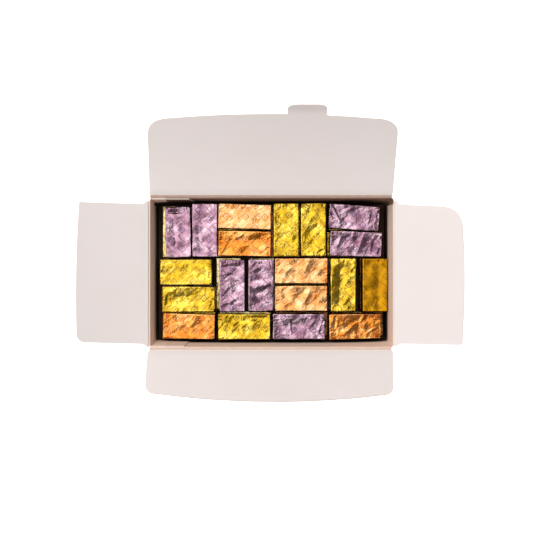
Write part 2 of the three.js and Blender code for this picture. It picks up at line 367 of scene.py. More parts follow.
def print_group():
    """A plain printed motif: rows of lozenges with a dot inside, and slanting dashes
    between them."""
    tree, source, sink = group_tree("foil_print", {"UV": VECTOR}, {"Ink": FLOAT})
    split = add_node(tree, "ShaderNodeSeparateXYZ", {0: source.outputs["UV"]})
    u, v = split.outputs[0], split.outputs[1]
    pitch_u, pitch_v = PRINT_PITCH

    def size(value):
        return math_node(tree, "ABSOLUTE", value)

    row = math_node(tree, "FLOOR", math_node(tree, "DIVIDE", v, pitch_v))
    odd = math_node(tree, "FLOORED_MODULO", row, 2.0)
    shifted = math_node(tree, "MULTIPLY_ADD", odd, pitch_u / 2, u)
    cell_u = math_node(tree, "FLOORED_MODULO", shifted, pitch_u)
    within = math_node(tree, "FLOORED_MODULO", v, pitch_v)
    cell_v = math_node(tree, "SUBTRACT", within, pitch_v / 2)
    to_lozenge = math_node(tree, "SUBTRACT", cell_u, LOZENGE_AT)
    girth = math_node(tree, "ADD", size(to_lozenge), size(cell_v))
    off_line = size(math_node(tree, "SUBTRACT", girth, LOZENGE_REACH))
    line = math_node(tree, "LESS_THAN", off_line, LOZENGE_LINE)
    dot = math_node(tree, "LESS_THAN", girth, LOZENGE_DOT)
    to_dash = math_node(tree, "SUBTRACT", cell_u, DASH_AT)
    along = size(math_node(tree, "ADD", to_dash, cell_v))
    across = size(math_node(tree, "SUBTRACT", cell_v, to_dash))
    dash = math_node(
        tree, "MULTIPLY",
        math_node(tree, "LESS_THAN", along, DASH_REACH),
        math_node(tree, "LESS_THAN", across, DASH_LINE),
    )
    ink = math_node(tree, "MAXIMUM", math_node(tree, "MAXIMUM", line, dot), dash)
    tree.links.new(ink, sink.inputs["Ink"])
    return tree


FIBRE = fibre_group()
CRUMPLE = crumple_group()
DEPTH = depth_group()
PRINT = print_group()


# Materials

# Painted shade: down in the gap round the pralines the walls darken to brown, between
# these heights. The back wall is painted darker and fades higher, most at mid-length,
# and the left one is painted lighter and fades lower.
GAP_FADE = (18, 26)
GAP_SHADE = linear(96, 72, 56)
BACK_FROM_Y, BACK_SHADE = 44, linear(136, 104, 86)
BACK_DROP = dict(low=45, high=70, to_low=-17, to_high=-9.5)
LEFT_FROM_X, LEFT_LIGHT, LEFT_RISE = -68, linear(250, 220, 200), 2
SIDE_SHADE = linear(26, 16, 10)
LOWER_LAYER_TOP = 16.5


def place_in(tree, coordinates):
    """The point's x, y and z in the part's frame, in metres."""
    split = add_node(tree, "ShaderNodeSeparateXYZ", {0: coordinates.outputs["Object"]})
    return split.outputs[:3]


def paint_gap_shade(tree, colour, coordinates):
    """The wall's colour with painted shade: it darkens towards the floor, darker on the back
    wall, with painted light on the left one.
    """
    x, y, z = place_in(tree, coordinates)
    at_back = math_node(tree, "GREATER_THAN", y, BACK_FROM_Y * MM)
    at_left = math_node(tree, "LESS_THAN", x, LEFT_FROM_X * MM)
    drop = stretch(
        tree, math_node(tree, "ABSOLUTE", x), **{k: v * MM for k, v in BACK_DROP.items()}
    )
    level = math_node(tree, "MULTIPLY_ADD", at_back, drop, z)
    level = math_node(tree, "MULTIPLY_ADD", at_left, LEFT_RISE * MM, level)
    colour = mix_colour(tree, at_back, colour, BACK_SHADE)
    colour = mix_colour(tree, at_left, colour, LEFT_LIGHT)
    low, high = GAP_FADE
    lit = stretch(tree, level, low * MM, high * MM, kind="SMOOTHSTEP")
    return mix_colour(tree, lit, GAP_SHADE, colour)


def board_material(name, base, shade, bump, mottle_size, with_gap_shade=False):
    """Uncoated board: two near colours mottled together, with a fibrous bump, and painted
    shade down in the gap where asked.
    """
    material, tree, shader, coordinates = new_material(name)
    fibre = add_node(tree, "ShaderNodeGroup", node_tree=FIBRE)
    tree.links.new(coordinates.outputs["Object"], fibre.inputs["Vector"])
    fibre.inputs["Mottle size"].default_value = mottle_size
    colour = mix_colour(tree, fibre.outputs["Mottle"], base, shade)
    # Painted shade in the gap round the pralines.
    if with_gap_shade:
        colour = paint_gap_shade(tree, colour, coordinates)
    relief = add_node(
        tree, "ShaderNodeBump",
        {"Height": fibre.outputs["Height"], "Strength": bump, "Distance": 0.2 * MM},
    )
    tree.links.new(colour, shader.inputs["Base Color"])
    tree.links.new(relief.outputs["Normal"], shader.inputs["Normal"])
    shader.inputs["Roughness"].default_value = 0.82
    shader.inputs["Specular IOR Level"].default_value = 0.3
    return material


def foil_material(name, deep, bright, pale, ink, roughness, bump, life=1.0, below=1.0):
    """Lacquered foil, crumpled, with a faint print that follows the wrapper. Its colour
    carries painted light: a painted sheen and glints, painted shade along thin creases, a
    painted highlight on its rounded rims, and painted shade down the bars' sides and on
    the lower layer's tops. Life is how much it glints and creases, below how much light
    the painted shade leaves on the tops in the lower layer."""
    material, tree, shader, coordinates = new_material(name)
    crumple = add_node(tree, "ShaderNodeGroup", node_tree=CRUMPLE)
    tree.links.new(coordinates.outputs["Object"], crumple.inputs["Vector"])
    printed = add_node(tree, "ShaderNodeGroup", node_tree=PRINT)
    tree.links.new(coordinates.outputs["UV"], printed.inputs["UV"])
    depth = add_node(tree, "ShaderNodeGroup", node_tree=DEPTH)
    tree.links.new(coordinates.outputs["Object"], depth.inputs["Vector"])
    # Painted sheen: the colour mottles from its deep to its bright tone.
    sheen = stretch(tree, crumple.outputs["Sheen"], 0.38, 0.62)
    colour = mix_colour(tree, sheen, deep, bright)
    # Painted highlights: pale glints in patches.
    glints = math_node(tree, "MULTIPLY", crumple.outputs["Glint"], 0.6 * life)
    colour = mix_colour(tree, glints, colour, pale)
    # Painted shade along thin crease lines.
    crease_shade = math_node(tree, "MULTIPLY", crumple.outputs["Crease shade"], 0.22 * life)
    dark = tuple(0.3 * part for part in deep[:3]) + (1,)
    colour = mix_colour(tree, crease_shade, colour, dark)
    strength = math_node(tree, "MULTIPLY", printed.outputs["Ink"], 0.6)
    colour = mix_colour(tree, strength, colour, ink)
    # Painted highlight: the rounded rims turn pale where the sheen is bright.
    rim = add_node(tree, "ShaderNodeAttribute", attribute_name="rim")
    rim_highlight = stretch(tree, rim.outputs["Fac"], 0.1, 0.5, to_high=0.75 * life)
    colour = mix_colour(tree, math_node(tree, "MULTIPLY", rim_highlight, sheen), colour, pale)
    # Painted shade: the foil darkens to near black down the bars' sides, and on the lower
    # layer's tops by its own share.
    z = place_in(tree, coordinates)[2]
    lower = math_node(tree, "LESS_THAN", z, LOWER_LAYER_TOP * MM)
    light = math_node(tree, "MULTIPLY_ADD", lower, below - 1, 1.0)
    light = math_node(tree, "MULTIPLY", depth.outputs["Open"], light)
    colour = mix_colour(tree, light, SIDE_SHADE, colour)
    relief = add_node(
        tree, "ShaderNodeBump",
        {"Height": crumple.outputs["Height"], "Strength": bump, "Distance": 0.6 * MM},
    )
    tree.links.new(colour, shader.inputs["Base Color"])
    tree.links.new(relief.outputs["Normal"], shader.inputs["Normal"])
    shader.inputs["Metallic"].default_value = 0.9
    shader.inputs["Roughness"].default_value = roughness
    shader.inputs["Coat Weight"].default_value = 0.12 * life
    shader.inputs["Coat Roughness"].default_value = 0.2
    return material


BOARD_INSIDE = board_material(
    "board", linear(234, 225, 222), linear(227, 217, 213), bump=0.25, mottle_size=22.0
)
# The walls' board: a warmer, darker copy of the board, painted shade for the warm light
# bounced round inside the carton.
BOARD_WALL_SHADED = board_material(
    "board_wall_shaded", linear(234, 210, 194), linear(227, 201, 183), bump=0.25,
    mottle_size=30.0, with_gap_shade=True,
)
# A browner board for the front crease's inside: partly the crushed fibre of its score, partly
# painted warm shade.
BOARD_SCORE_AND_SHADE = board_material(
    "board_score_and_shade", linear(230, 209, 195), linear(214, 184, 164), bump=0.4,
    mottle_size=260.0,
)
# A darker, browner copy of the board for the back crease, which faces away from the light:
# painted shade.
BOARD_BEND_SHADED = board_material(
    "board_bend_shaded", linear(206, 182, 168), linear(176, 148, 132), bump=0.4,
    mottle_size=260.0,
)
BOARD_EDGE = board_material(
    "board_edge", linear(228, 214, 206), linear(210, 192, 182), bump=0.4,
    mottle_size=300.0,
)
FOILS = {
    "mauve_foil": foil_material(
        "mauve_foil", linear(104, 66, 82), linear(166, 127, 144), linear(220, 194, 204),
        linear(52, 46, 84), roughness=0.25, bump=0.34, below=0.15,
    ),
    "orange_foil": foil_material(
        "orange_foil", linear(182, 92, 12), linear(214, 136, 46), linear(244, 194, 124),
        linear(84, 56, 38), roughness=0.25, bump=0.32, below=0.2,
    ),
    "yellow_foil": foil_material(
        "yellow_foil", linear(156, 118, 2), linear(208, 168, 30), linear(248, 220, 100),
        linear(78, 74, 42), roughness=0.25, bump=0.32, below=0.7,
    ),
    "amber_foil": foil_material(
        "amber_foil", linear(158, 106, 1), linear(182, 128, 2), linear(200, 150, 20),
        linear(84, 62, 16), roughness=0.33, bump=0.06, life=0.2,
    ),
    "cream_foil": foil_material(
        "cream_foil", linear(232, 196, 112), linear(246, 224, 152), linear(252, 242, 200),
        linear(110, 92, 66), roughness=0.34, bump=0.3,
    ),
}
# Three of the orange bars have a paler foil than the rest.
PEACH = foil_material(
    "peach_foil", linear(202, 122, 54), linear(218, 160, 98), linear(248, 218, 170),
    linear(92, 68, 50), roughness=0.29, bump=0.3,
)
PEACH_NODES = ("praline_upper_03", "praline_upper_13", "praline_upper_14")


# The flaps and their creases

def flap_frame(flap):
    """Turns a flap's (w, s, height) into the part's frame."""
    return (
        Matrix.Rotation(math.radians(flap["yaw"]), 4, "Z")
        @ Matrix.Translation((0, flap["reach"], flap["crease_z"]))
        @ Matrix.Rotation(math.radians(flap["tilt"]), 4, "X")
    )


def curl_height(flap, s):
    """How far the curled board stands off the flap's plane."""
    return flap["curl"] * (s * s / flap["length"] - s)


def curl_angle(flap, s):
    """How steeply the curled board runs there."""
    return math.atan(flap["curl"] * (2 * s / flap["length"] - 1))


def flap_outline(flap):
    """Outline of the cut flap, from the root's high end round to its low end."""
    length = flap["length"]
    (root_low, root_high), (side_low, side_high) = flap["root"], flap["side"]
    (tip_low, tip_high), (edge_low, edge_high) = flap["tip"], flap["edge"]
    (low_along, low_deep), (high_along, high_deep) = flap["corners"]
    bow_top = 2 * length - (edge_low + edge_high) / 2
    outline = [Vector((root_high, FLAP_START)), Vector((side_high, GUSSET_END))]
    outline.append(Vector((tip_high, edge_high - high_deep)))
    high_end = (tip_high - high_along, edge_high)
    outline += curve_through(outline[-1], (tip_high, edge_high), high_end)
    low_end = (tip_low + low_along, edge_low)
    outline += curve_through(outline[-1], ((tip_low + tip_high) / 2, bow_top), low_end, 28)
    low_side = (tip_low, edge_low - low_deep)
    outline += curve_through(outline[-1], (tip_low, edge_low), low_side)
    outline += [Vector((side_low, GUSSET_END)), Vector((root_low, FLAP_START))]
    if flap["tab"]:
        outline = add_tab(flap, outline)
    return outline


TAB_FILLET = 0.8


def add_tab(flap, outline):
    """Lets the outer edge run out round the tab."""
    tab = flap["tab"]
    half = tab["width"] / 2
    along, deep = tab["corner"]
    low, high = tab["centre"] - half, tab["centre"] + half
    end = flap["length"] + tab["flat"] + tab["bent"]
    far = [p for p in outline if p.y > flap["length"] - 8 and low < p.x < high]
    index = outline.index(far[0])
    kept = [p for p in outline if p not in far]
    root_s = far[0].y
    tongue = [Vector((high + TAB_FILLET, root_s - 0.1))]
    tongue += curve_through(tongue[0], (high, root_s), (high, root_s + TAB_FILLET), 4)
    tongue.append(Vector((high, end - deep)))
    tongue += curve_through(tongue[-1], (high, end), (high - along, end))
    tongue.append(Vector((low + along, end)))
    tongue += curve_through(tongue[-1], (low, end), (low, end - deep))
    root_s = far[-1].y
    tongue.append(Vector((low, root_s + TAB_FILLET)))
    tongue += curve_through(tongue[-1], (low, root_s), (low - TAB_FILLET, root_s), 4)
    return kept[:index] + tongue + kept[index:]


# The slow wave of the sprung board: its rise, its length along and across the flap, and
# the distance from the crease at which it is full. A flap without a tab bends nowhere.
WAVE_RISE, WAVE_ALONG, WAVE_ACROSS, WAVE_FULL_AT = 0.28, 38, 30, 12
SCORE_WIDTH = 0.3
BEYOND_FLAP = 100


def lay_flap(flap, w, s, seed):
    """Middle plane of the sprung board at (w, s), in the flap's own frame."""
    crease = flap["length"] + (flap["tab"]["flat"] if flap["tab"] else BEYOND_FLAP)
    wave = WAVE_RISE * noise.noise(Vector((w / WAVE_ALONG + seed, s / WAVE_ACROSS, seed)))
    wave *= min(1, s / WAVE_FULL_AT)
    wave -= flap["grooves"][2] * math.exp(-(((s - SCORE_AT) / SCORE_WIDTH) ** 2))
    if s <= crease:
        return Vector((w, s, curl_height(flap, s) + wave))
    turn = curl_angle(flap, crease) + math.radians(flap["tab"]["bend"])
    beyond = s - crease
    return Vector((
        w,
        crease + beyond * math.cos(turn),
        curl_height(flap, crease) + wave + beyond * math.sin(turn),
    ))


def thicken(bm):
    """Gives a sheet the board's thickness, half to each side."""
    bmesh.ops.recalc_face_normals(bm, faces=bm.faces)
    bm.normal_update()
    if bm.faces[0].normal.z < 0:
        bmesh.ops.reverse_faces(bm, faces=bm.faces)
        bm.normal_update()
    for vert in bm.verts:
        vert.co += vert.normal * BOARD / 2
    bmesh.ops.solidify(bm, geom=bm.faces[:], thickness=BOARD)
    bm.normal_update()


EDGE_SLACK, EDGE_SPARE = 0.02, 1.2


def mark_cut_edges(bm):
    """Faces one board thick, that stand across the sheet, show the board's core."""
    for face in bm.faces:
        longest = max(e.calc_length() for e in face.edges)
        shortest = min(e.calc_length() for e in face.edges)
        if len(face.verts) == 4 and abs(shortest - BOARD) < EDGE_SLACK < longest:
            face.material_index = int(face.calc_area() < EDGE_SPARE * BOARD * longest)


# How finely a flap is cut along and away from its crease, and the closer cuts that carry
# its score and the bend of its tab.
FLAP_CELL_ALONG, FLAP_CELL_AWAY = 3.4, 2.6
SCORE_ROWS = (-0.5, -0.25, 0, 0.25, 0.5)
TAB_ROWS = (0, 1.5, 3)


def make_flap(side, flap, seed):
    """Cuts the flap from board, scores it, lets it spring and hangs it at its crease."""
    bm = bmesh.new()
    bm.faces.new([bm.verts.new((p.x, p.y, 0)) for p in flap_outline(flap)])
    low, high = min(flap["root"][0], flap["tip"][0]), max(flap["root"][1], flap["tip"][1])
    slice_along(bm, (1, 0, 0), low, high, FLAP_CELL_ALONG)
    slice_along(bm, (0, 1, 0), GUSSET_END, flap["length"], FLAP_CELL_AWAY)
    places = [SCORE_AT + row for row in SCORE_ROWS]
    if flap["tab"]:
        crease = flap["length"] + flap["tab"]["flat"]
        places += [flap["length"]] + [crease + row for row in TAB_ROWS]
    for s in places:
        cut_across(bm, (0, 1, 0), s)
    for vert in bm.verts:
        vert.co = lay_flap(flap, vert.co.x, vert.co.y, seed)
    thicken(bm)
    mark_cut_edges(bm)
    bm.transform(flap_frame(flap))
    piece = new_object(f"flap_{side}_board", bm, [BOARD_INSIDE, BOARD_EDGE])
    shade_smooth(piece)
    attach(piece, f"{side}_flap")
    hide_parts(f"flap_{side}")


# The bent strip, in its section: the curve's control point, how far it laps the wall and
# the flap, and the bead that swells along its inside, by row. SCORE_ROW is pressed in.
CREASE_BEND = Vector((-0.15, -0.05))
WALL_LAP, FLAP_LAP = 0.6, 0.9
CREASE_STEPS = 16
CREASE_LENGTHS = 60
CREASE_PROUD = 0.02
BEAD_RISE, BEAD_ROW, BEAD_ROWS = 0.14, 9, 3
SCORE_ROW = 5


def make_crease(side, flap):
    """The bent board between a wall and its flap, crushed into a score by the wall."""
    tilt = math.radians(flap["tilt"]) - flap["curl"]
    start = Vector((-CREASE_OUT + BOARD / 2, -WALL_BELOW_CREASE - WALL_LAP))
    end = Vector((math.cos(tilt), math.sin(tilt))) * (FLAP_START + FLAP_LAP)
    middle = [start] + curve_through(start, CREASE_BEND, end, CREASE_STEPS)
    inside, outside = [], []
    for i, point in enumerate(middle):
        before, after = middle[max(i - 1, 0)], middle[min(i + 1, CREASE_STEPS)]
        along = (after - before).normalized()
        out = Vector((-along.y, along.x)) * BOARD / 2
        bead = BEAD_RISE * math.exp(-(((i - BEAD_ROW) / BEAD_ROWS) ** 2))
        inside.append(point + out + out.normalized() * (bead + CREASE_PROUD))
        outside.append(point - out)
    bm = bmesh.new()
    low, high = flap["root"]
    face = bm.faces.new([bm.verts.new((low, p.x, p.y)) for p in inside + outside[::-1]])
    for _ in range(CREASE_LENGTHS):
        made = bmesh.ops.extrude_face_region(bm, geom=[face])
        moved = [g for g in made["geom"] if isinstance(g, bmesh.types.BMVert)]
        bmesh.ops.translate(bm, vec=((high - low) / CREASE_LENGTHS, 0, 0), verts=moved)
        old = face
        face = next(g for g in made["geom"] if isinstance(g, bmesh.types.BMFace))
        if old.is_valid and old.calc_center_median().x > low + NEAR:
            bm.faces.remove(old)
    bmesh.ops.recalc_face_normals(bm, faces=bm.faces)
    for face in bm.faces:
        middle_point = face.calc_center_median().yz
        to_inside = min((middle_point - point).length for point in inside)
        to_outside = min((middle_point - point).length for point in outside)
        face.material_index = int(to_outside < to_inside)
    score_crease(bm, flap, inside[SCORE_ROW], inside[SCORE_ROW - 1:SCORE_ROW + 2])
    hinge = Matrix.Rotation(math.radians(flap["yaw"]), 4, "Z") @ Matrix.Translation(
        (0, flap["reach"], flap["crease_z"])
    )
    bm.transform(hinge)
    # The back crease takes a board with painted shade; the front one a browner board, partly
    # its crushed score and partly painted warm shade.
    board = {"back": BOARD_BEND_SHADED, "front": BOARD_SCORE_AND_SHADE}.get(side, BOARD_INSIDE)
    piece = new_object(f"crease_{side}", bm, [board, BOARD_INSIDE])
    shade_smooth(piece, 60)
    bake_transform(piece)


# The score deepens over the last part of its half length. The rows beside the deepest
# one follow it by a share, and the press goes back and down.
DEEPENS_FROM, DEEPENS_OVER = 0.7, 0.3
BESIDE_SHARE = 0.45
PRESS_BACK, PRESS_DOWN = 0.75, 0.65


def score_crease(bm, flap, deepest, rows):
    """Presses the score in: deeper towards the ends, where the corners pull on it."""
    middle_depth, end_depth, _ = flap["grooves"]
    half = (flap["root"][1] - flap["root"][0]) / 2
    for vert in bm.verts:
        place = Vector((vert.co.y, vert.co.z))
        if any((place - point).length < NEAR for point in rows):
            past = max(0, min(1, abs(vert.co.x) / half) - DEEPENS_FROM)
            depth = middle_depth + (end_depth - middle_depth) * past / DEEPENS_OVER
            share = 1 if (place - deepest).length < NEAR else BESIDE_SHARE
            vert.co.y += depth * share * PRESS_BACK
            vert.co.z -= depth * share * PRESS_DOWN


# The tray

WALL_CELL, FLOOR_CELL = 3, 8
# How strongly a face that looks up counts as an inner one, beside its way to the middle.
UPWARD = 20
FLOOR_SLACK = 0.1
PLY_SINK, PLY_BELOW_RIM, PLY_FROM_CORNER, PLY_CELL = 0.03, 0.05, 0.1, 4


def make_tray():
    """Raises the walls from the floor, gives them thickness, draws them in and adds the
    glue plies."""
    bm = bmesh.new()
    floor = bm.faces.new([bm.verts.new((p.x, p.y, BOARD / 2)) for p in tray_outline()])
    top = BACK_CREASE_Z - WALL_BELOW_CREASE
    made = bmesh.ops.extrude_edge_only(bm, edges=floor.edges[:])
    upper = [g for g in made["geom"] if isinstance(g, bmesh.types.BMVert)]
    bmesh.ops.translate(bm, vec=(0, 0, top - BOARD / 2), verts=upper)
    slice_along(bm, (0, 0, 1), BOARD / 2, top, WALL_CELL)
    slice_along(bm, (1, 0, 0), -MOUTH_LENGTH / 2, MOUTH_LENGTH / 2, FLOOR_CELL)
    slice_along(bm, (0, 1, 0), -MOUTH_WIDTH / 2, MOUTH_WIDTH / 2, FLOOR_CELL)
    bmesh.ops.recalc_face_normals(bm, faces=bm.faces)
    bm.normal_update()
    floor_face = min(bm.faces, key=lambda f: f.calc_center_median().z)
    if floor_face.normal.z > 0:
        bmesh.ops.reverse_faces(bm, faces=bm.faces)
        bm.normal_update()
    for vert in bm.verts:
        vert.co += vert.normal * BOARD / 2
    bmesh.ops.solidify(bm, geom=bm.faces[:], thickness=BOARD)
    for face in bm.faces:
        middle = face.calc_center_median()
        inward = face.normal.dot(Vector((-middle.x, -middle.y, UPWARD))) > 0
        face.material_index = 2 if inward and middle.z > BOARD - FLOOR_SLACK else 0
    for vert in bm.verts:
        lower_top(vert, top)
        lean_in(vert)
    for side, sign, crease_z in (("front", -1, FRONT_CREASE_Z), ("back", 1, BACK_CREASE_Z)):
        add_ply(bm, sign, PLY_ENDS[side], crease_z - WALL_BELOW_CREASE - PLY_BELOW_RIM)
    piece = new_object("tray_board", bm, [BOARD_INSIDE, BOARD_EDGE, BOARD_WALL_SHADED])
    shade_smooth(piece)
    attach(piece, "carton")
    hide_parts("tray")


def tray_outline():
    """A rounded rectangle along the middle of the walls' board."""
    radius = WALL_CORNER + BOARD / 2
    x, y = (MOUTH_LENGTH + BOARD) / 2 - radius, (MOUTH_WIDTH + BOARD) / 2 - radius
    points = []
    for quarter, centre in enumerate(((x, y), (-x, y), (-x, -y), (x, -y))):
        for i in range(4):
            angle = math.pi / 2 * (quarter + i / 3)
            points.append(Vector(centre) + radius * Vector((math.cos(angle), math.sin(angle))))
    return points


def lower_top(vert, top):
    """Each wall ends the same way below its own crease."""
    on_side = abs(vert.co.x) > MOUTH_LENGTH / 2 - 1
    here = SIDE_CREASE_Z if on_side else FRONT_CREASE_Z if vert.co.y < 0 else BACK_CREASE_Z
    vert.co.z *= (here - WALL_BELOW_CREASE) / top if vert.co.z > BOARD else 1


def lean_in(vert):
    """Draws the walls in from their rim, and lets the long ones bow at mid-length."""
    x, y, z = vert.co
    lean = min(max((RIM_Z - z) / (RIM_Z - FLARE_START_Z), 0), 1)
    if abs(x) > MOUTH_LENGTH / 2 - WALL_CORNER - CORNER_SLACK:
        vert.co.x -= math.copysign(FLARE["side"] * lean, x)
    if abs(y) > MOUTH_WIDTH / 2 - WALL_CORNER - CORNER_SLACK:
        side = "back" if y > 0 else "front"
        in_length = 1 - min(1, abs(2 * x / MOUTH_LENGTH)) ** 4
        bow = BOW[side] * in_length * math.sin(math.pi * min(z / RIM_Z, 1))
        vert.co.y -= math.copysign(FLARE[side] * lean - bow, y)


def add_ply(bm, sign, end, top):
    """A glue ply inside the front or back wall, at its left corner."""
    left = -MOUTH_LENGTH / 2 + WALL_CORNER + PLY_FROM_CORNER
    ply = bmesh.new()
    outline = [
        (left, PLY_BOTTOM), (end + PLY_SLANT, PLY_BOTTOM), (end + PLY_SLANT, top / 2),
        (end, top), (left, top),
    ]
    y = sign * (MOUTH_WIDTH / 2 - PLY_SINK)
    face = ply.faces.new([ply.verts.new((x, y, z)) for x, z in outline])
    made = bmesh.ops.extrude_face_region(ply, geom=[face])
    inner = [g for g in made["geom"] if isinstance(g, bmesh.types.BMVert)]
    bmesh.ops.translate(ply, vec=(0, -sign * (BOARD - PLY_SINK), 0), verts=inner)
    slice_along(ply, (1, 0, 0), left, end, PLY_CELL)
    slice_along(ply, (0, 0, 1), PLY_BOTTOM, top, PLY_CELL)
    bmesh.ops.recalc_face_normals(ply, faces=ply.faces)
    ply.normal_update()
    for face in ply.faces:
        face.material_index = 2 if abs(face.normal.y) > 0.5 else 1
    for vert in ply.verts:
        lean_in(vert)
    sheet = bpy.data.meshes.new("ply")
    ply.to_mesh(sheet)
    ply.free()
    bm.from_mesh(sheet)
    bpy.data.meshes.remove(sheet)


# The pralines

# Each wrapper of the top layer: the turn of its bar, how many degrees its top leans down
# to the right and front, how far it sags between the rims, how restless it is, how
# gathered at its two ends, and its own folds. A fold is x and y from the bar's middle,
# its direction in degrees, half length, half width, and how high its ridge stands, or
# below zero how deep its valley lies.
UPPER = [
    (91.4, 0, 0.3, 0.7, (0.2, 0.6), [
        (-2.1, 12.7, 3, 5, 1.3, -0.55), (-2.4, -2.7, 97, 13, 3.2, -0.45),
        (-1.4, 15.3, 0, 6, 1.2, 0.35)]),
    (90, 0, 0.25, 0.6, (0.3, 0.3), [
        (-3.8, -3.9, 95, 10, 2.6, -0.35), (4.7, -7.0, 85, 9, 2.5, 0.25)]),
    (-1.6, 0, 0.2, 0.5, (0.2, 0.3), [
        (6.7, 0.0, 50, 8, 4.0, 0.22), (0.0, 4.7, 0, 14, 2.2, -0.2)]),
    (-1, 2, 0.3, 0.7, (0.4, 0.5), [
        (1.4, 2.3, 0, 15, 4.0, -0.5), (-7.1, 4.9, -42, 3.2, 0.9, 0.4),
        (-2.6, 4.9, 30, 2.4, 0.9, 0.35), (-13.0, -1.6, 60, 5, 1.5, 0.2)]),
    (90, 0, 0.2, 0.5, (0.3, 0.2), [
        (3.0, 0.9, 93, 15, 4.2, 0.3), (-1.6, -9.0, 35, 8, 3.0, 0.25),
        (-2.2, -3.7, 35, 8, 3.0, -0.2)]),
    (90, 0, 0.2, 0.6, (0.4, 0.3), [
        (-2.9, 4.5, 62, 11, 3.6, 0.45), (1.7, -6.0, 55, 10, 3.0, -0.3),
        (4.3, -14.5, 20, 2.5, 1.0, -0.35), (6.3, 15.6, -45, 2, 1.0, -0.3)]),
    (-4, 1, 0.25, 0.9, (0.7, 0.5), [
        (-11.6, 1.8, -62, 6.8, 1.3, 0.6), (-15.2, 0.8, -70, 4, 1.0, 0.35),
        (14.0, -0.5, 82, 6.5, 1.6, 0.5), (11.0, -1.2, 75, 5, 1.4, -0.35),
        (-2.8, 5.4, 35, 4, 1.2, 0.3), (4.5, 0.8, 30, 5, 4.0, 0.3),
        (-7.3, -1.8, 20, 2, 2.0, -0.4)]),
    (-2.2, 2, 0.25, 0.9, (0.4, 0.6), [
        (-10.9, 2.4, 65, 5.5, 2.0, 0.55), (2.6, 0.4, 76, 7, 3.2, 0.65),
        (9.6, -0.9, 88, 4, 1.3, 0.5), (14.3, -2.9, 70, 5, 1.4, 0.4),
        (-5.3, 4.3, 20, 2.5, 1.5, -0.35)]),
    (0, 0, 0.2, 0.6, (0.4, 0.4), [
        (-2.5, 0.8, 32, 12, 4.5, -0.35), (6.7, 0.0, 35, 7, 3.5, 0.2),
        (14.5, 0.0, 85, 6, 1.5, 0.4), (-15.0, 1.4, 60, 4, 1.2, -0.35)]),
    (0, 3, 0.3, 0.8, (0.6, 0.5), [
        (0.0, 1.6, -3, 17, 4.4, -0.65), (-15.4, -0.3, 80, 4, 1.2, 0.4),
        (-12.8, -3.6, 50, 3, 1.2, 0.35), (10.8, 0.3, 30, 4, 1.4, 0.3),
        (14.7, -4.3, 70, 3, 1.0, -0.3)]),
    (90, 2, 0.25, 0.7, (0.3, 0.8), [
        (0.0, 12.7, 4, 8, 1.7, -0.6), (2.5, 15.3, 10, 5, 1.1, 0.4),
        (-2.8, 9.4, -25, 2.5, 0.9, 0.4), (-2.1, 6.5, 15, 4, 2.0, -0.3),
        (-0.8, -9.9, 25, 7, 2.6, 0.7), (-4.1, -2.7, 60, 5, 1.5, 0.2)]),
    (90, 4, 0.25, 0.8, (0.4, 0.7), [
        (0.0, -0.3, 12, 6.5, 4.5, 0.65), (-2.1, -4.9, 8, 6, 3.0, -0.3),
        (-4.7, -7.5, -50, 4, 1.8, 0.4), (3.1, -10.8, 10, 2.5, 2.2, 0.4),
        (3.1, 14.7, -30, 3.5, 1.1, 0.45), (-4.7, 12.8, 50, 4, 1.3, -0.35)]),
    (0, 0, 0.2, 0.7, (0.3, 0.4), [
        (-10.3, -1.6, 52, 6, 2.6, 0.4), (3.1, 1.6, 68, 7, 3.4, 0.5),
        (12.3, 0.3, 48, 5, 2.6, 0.4)]),
    (0, 0, 0.2, 0.6, (0.4, 0.3), [
        (3.9, 1.6, 68, 6, 2.6, 0.4), (-9.2, -3.0, 42, 6, 2.6, 0.3),
        (12.4, -1.0, 60, 4, 2.0, 0.2)]),
    (90, 3, 0.25, 0.7, (0.3, 0.5), [
        (-1.8, -0.5, 93, 16, 4.4, -0.75), (-3.5, 14.5, -40, 3.5, 1.2, 0.4),
        (5.7, 11.3, 60, 3.5, 1.4, 0.3), (1.8, -10.3, 45, 5, 2.5, 0.3)]),
    (90, 1, 0.1, 0.2, (0.1, 0.2), [(2.1, 0.0, 90, 17, 4.5, -0.2)]),
    (-1.2, 2, 0.2, 0.5, (0.2, 0.2), [
        (3.3, 3.1, 60, 6, 3.4, 0.35), (13.8, 0.0, 50, 5, 2.0, 0.2),
        (-5.8, -2.2, 30, 8, 3.0, -0.2)]),
    (0, 1, 0.25, 0.7, (0.5, 0.3), [
        (9.7, 5.9, -3, 7.5, 1.8, -0.5), (-6.0, 2.3, 40, 3.4, 1.5, 0.4),
        (1.2, 3.9, -5, 12, 3.0, -0.25), (-14.5, 0.7, 45, 4, 1.4, -0.3)]),
    (0, 1, 0.25, 0.7, (0.4, 0.6), [
        (-2.0, 1.2, 3, 13, 4.4, -0.65), (-5.6, -1.4, -80, 5, 1.1, 0.4),
        (8.5, 1.9, 50, 4.5, 1.5, 0.5), (13.8, -0.7, 75, 5, 1.4, 0.4)]),
    (1, 3, 0.25, 0.7, (0.3, 0.3), [
        (-3.5, -1.4, 42, 8, 2.8, 0.6), (10.3, -2.7, 32, 5.5, 1.6, 0.4),
        (4.4, 5.2, 60, 3, 1.5, 0.3), (-13.3, 3.2, 80, 5, 1.5, -0.45)]),
]
# The lower layer's bars, which show as slivers only.
LOWER_TURNS = [90, 90, 0, 0, 90, 90, 0, 0, 0, 0, 90, 90, 0, 0, 90, 90, 0, 0, 0, 0]
FOIL_EDGE = 0.6
EDGE_ROWS = 3
UPPER_CELL, LOWER_CELL = 0.5, 1.0
